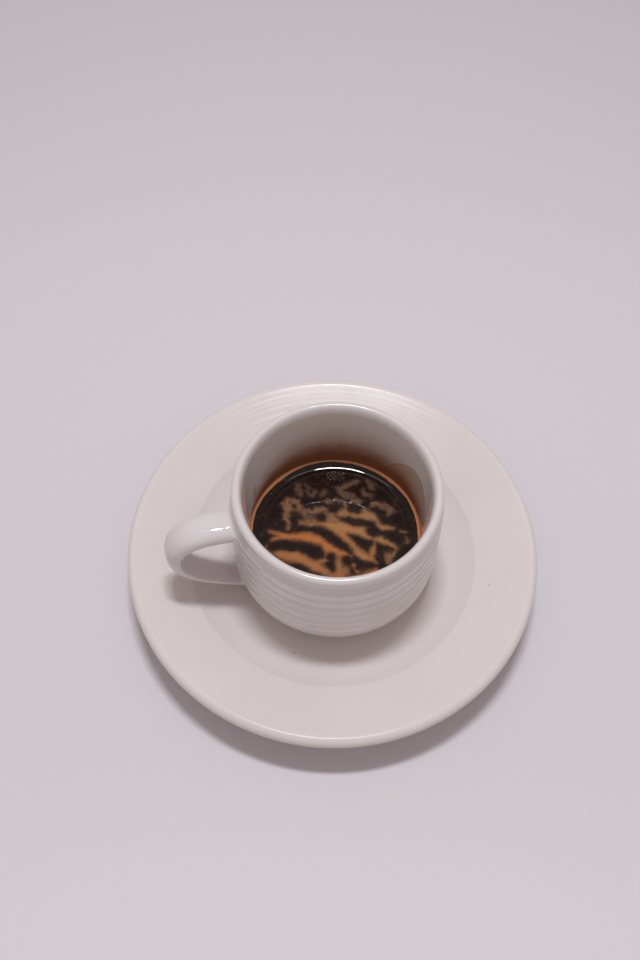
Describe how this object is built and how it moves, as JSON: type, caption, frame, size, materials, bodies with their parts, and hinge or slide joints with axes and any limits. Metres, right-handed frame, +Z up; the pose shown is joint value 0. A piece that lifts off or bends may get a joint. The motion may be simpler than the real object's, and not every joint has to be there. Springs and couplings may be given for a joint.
{
  "type": "espresso shot",
  "caption": "Short espresso with streaked crema in a thick-walled white ceramic cup with a loop handle, standing on its saucer.",
  "frame": {"origin": "on the table, under the middle of the saucer's foot ring", "axes": "+Z up out of the cup, -X towards the handle, which is turned a little towards -Y, the side the cup is seen from"},
  "size_m": [0.125, 0.125, 0.0492],
  "materials": {
    "saucer_glaze": "glossy off-white glaze",
    "cup_glaze": "glossy white glaze",
    "coffee": "dark liquid with streaked hazel crema"
  },
  "bodies": {
    "root": {"saucer": "saucer_glaze", "cup": "cup_glaze", "espresso": "coffee"}
  },
  "joints": []
}
